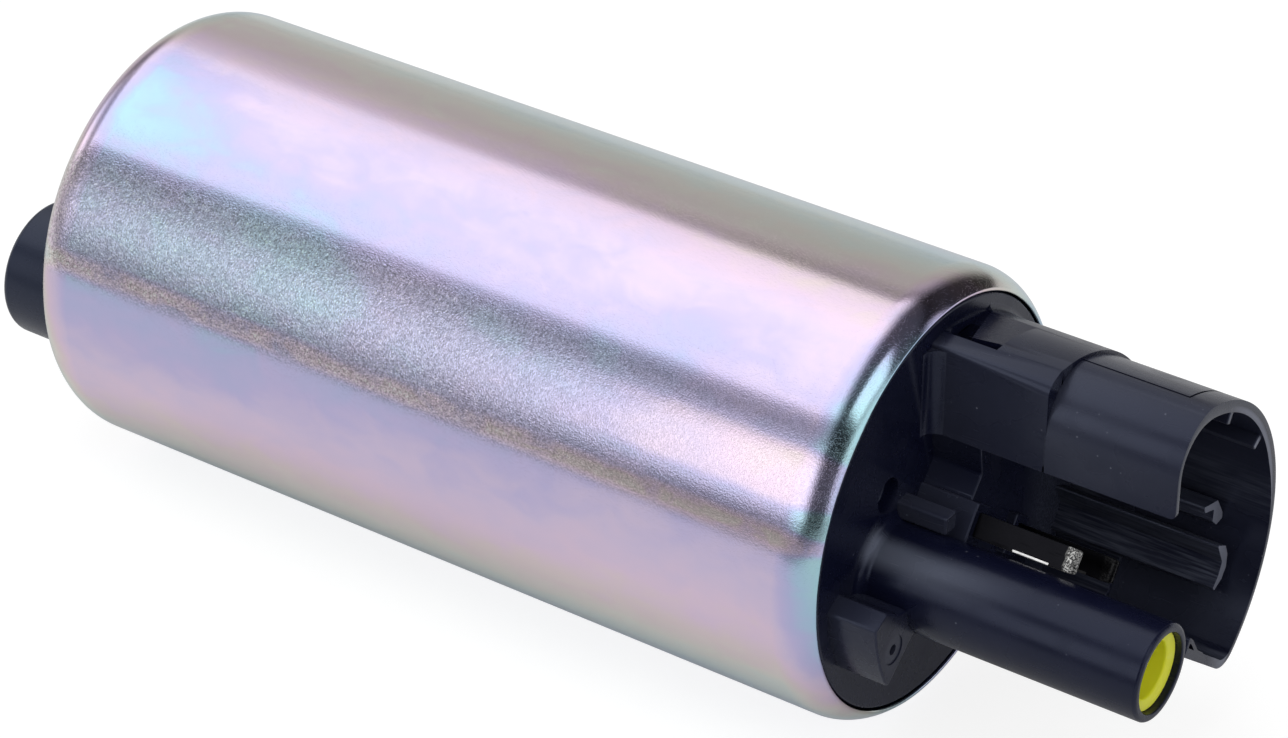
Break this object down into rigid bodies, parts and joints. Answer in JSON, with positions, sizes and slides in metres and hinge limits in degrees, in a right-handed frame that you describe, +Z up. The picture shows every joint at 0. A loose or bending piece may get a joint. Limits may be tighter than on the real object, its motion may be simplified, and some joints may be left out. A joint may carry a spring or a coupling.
{
  "type": "in-tank electric fuel pump",
  "caption": "In-tank electric fuel pump: rolled steel can, moulded outlet cover with hose tube and plug shroud, brushed motor, vane impeller stage and offset inlet stub.",
  "frame": {"origin": "the middle of the can's straight wall section on the motor axis, halfway between its rolled ends", "axes": "+X along the motor axis towards the outlet tube and the plug; +Z up as the pump lies on its side; +Y completes the right-handed frame, towards the plug shroud's round wall"},
  "size_m": [0.1094, 0.038, 0.038],
  "materials": {
    "can_steel": "satin",
    "cover_plastic": "semi-gloss moulded",
    "seal_rubber": "matte",
    "tinned_brass": "satin tin plate",
    "sleeve_plastic": "satin",
    "poppet_plastic": "satin",
    "spring_steel": "bright",
    "ferrite": "matte ground",
    "winding_copper": "bright",
    "carrier_plastic": "matte",
    "brush_carbon": "matte",
    "bush_bronze": "sintered",
    "shaft_steel": "ground",
    "core_steel": "stamped laminations",
    "hub_resin": "moulded",
    "casing_aluminium": "die cast, machined faces",
    "impeller_resin": "moulded"
  },
  "bodies": {
    "housing": {"can": "can_steel", "outlet_cover": "cover_plastic", "cover_seal": "seal_rubber", "terminal_positive": "tinned_brass", "terminal_negative": "tinned_brass", "check_valve_sleeve": "sleeve_plastic", "check_valve_spring": "spring_steel", "relief_valve_cage": "poppet_plastic", "relief_valve_spring": "spring_steel", "choke_core_positive": "ferrite", "choke_core_negative": "ferrite", "choke_coil_positive": "winding_copper", "choke_coil_negative": "winding_copper", "brush_carrier": "carrier_plastic", "brush_spring_positive": "spring_steel", "brush_spring_negative": "spring_steel", "brush_lead_positive": "winding_copper", "brush_lead_negative": "winding_copper", "upper_bush": "bush_bronze", "magnet_upper": "ferrite", "magnet_lower": "ferrite", "magnet_clips": "spring_steel", "pump_casing": "casing_aluminium", "lower_bush": "bush_bronze", "inlet_cover": "cover_plastic", "thrust_disc": "shaft_steel"},
    "rotor": {"armature_shaft": "shaft_steel", "armature_core": "core_steel", "armature_windings": "winding_copper", "commutator_segments": "winding_copper", "commutator_hub": "hub_resin", "impeller": "impeller_resin"},
    "check_poppet": {"check_valve_poppet": "poppet_plastic"},
    "relief_ball": {"relief_valve_ball": "spring_steel"},
    "positive_brush": {"brush_positive": "brush_carbon"},
    "negative_brush": {"brush_negative": "brush_carbon"}
  },
  "joints": [
    {"name": "rotor_spin", "type": "hinge", "parent": "housing", "child": "rotor", "pos_m": [0, 0, 0], "axis": [1, 0, 0], "continuous": true},
    {"name": "check_valve_slide", "type": "slide", "parent": "housing", "child": "check_poppet", "axis": [1, 0, 0], "range_m": [0, 0.002], "stiffness_N_per_m": 40, "springref_m": -0.002, "deforming": ["check_valve_spring"]},
    {"name": "relief_valve_slide", "type": "slide", "parent": "housing", "child": "relief_ball", "axis": [1, 0, 0], "range_m": [0, 0.0008], "stiffness_N_per_m": 60, "springref_m": -0.001, "deforming": ["relief_valve_spring"]},
    {"name": "brush_positive_slide", "type": "slide", "parent": "housing", "child": "positive_brush", "axis": [1, 0, 0], "range_m": [0, 0.0015], "stiffness_N_per_m": 60, "springref_m": -0.002, "deforming": ["brush_spring_positive", "brush_lead_positive"]},
    {"name": "brush_negative_slide", "type": "slide", "parent": "housing", "child": "negative_brush", "axis": [1, 0, 0], "range_m": [0, 0.0015], "stiffness_N_per_m": 60, "springref_m": -0.002, "deforming": ["brush_spring_negative", "brush_lead_negative"]}
  ]
}
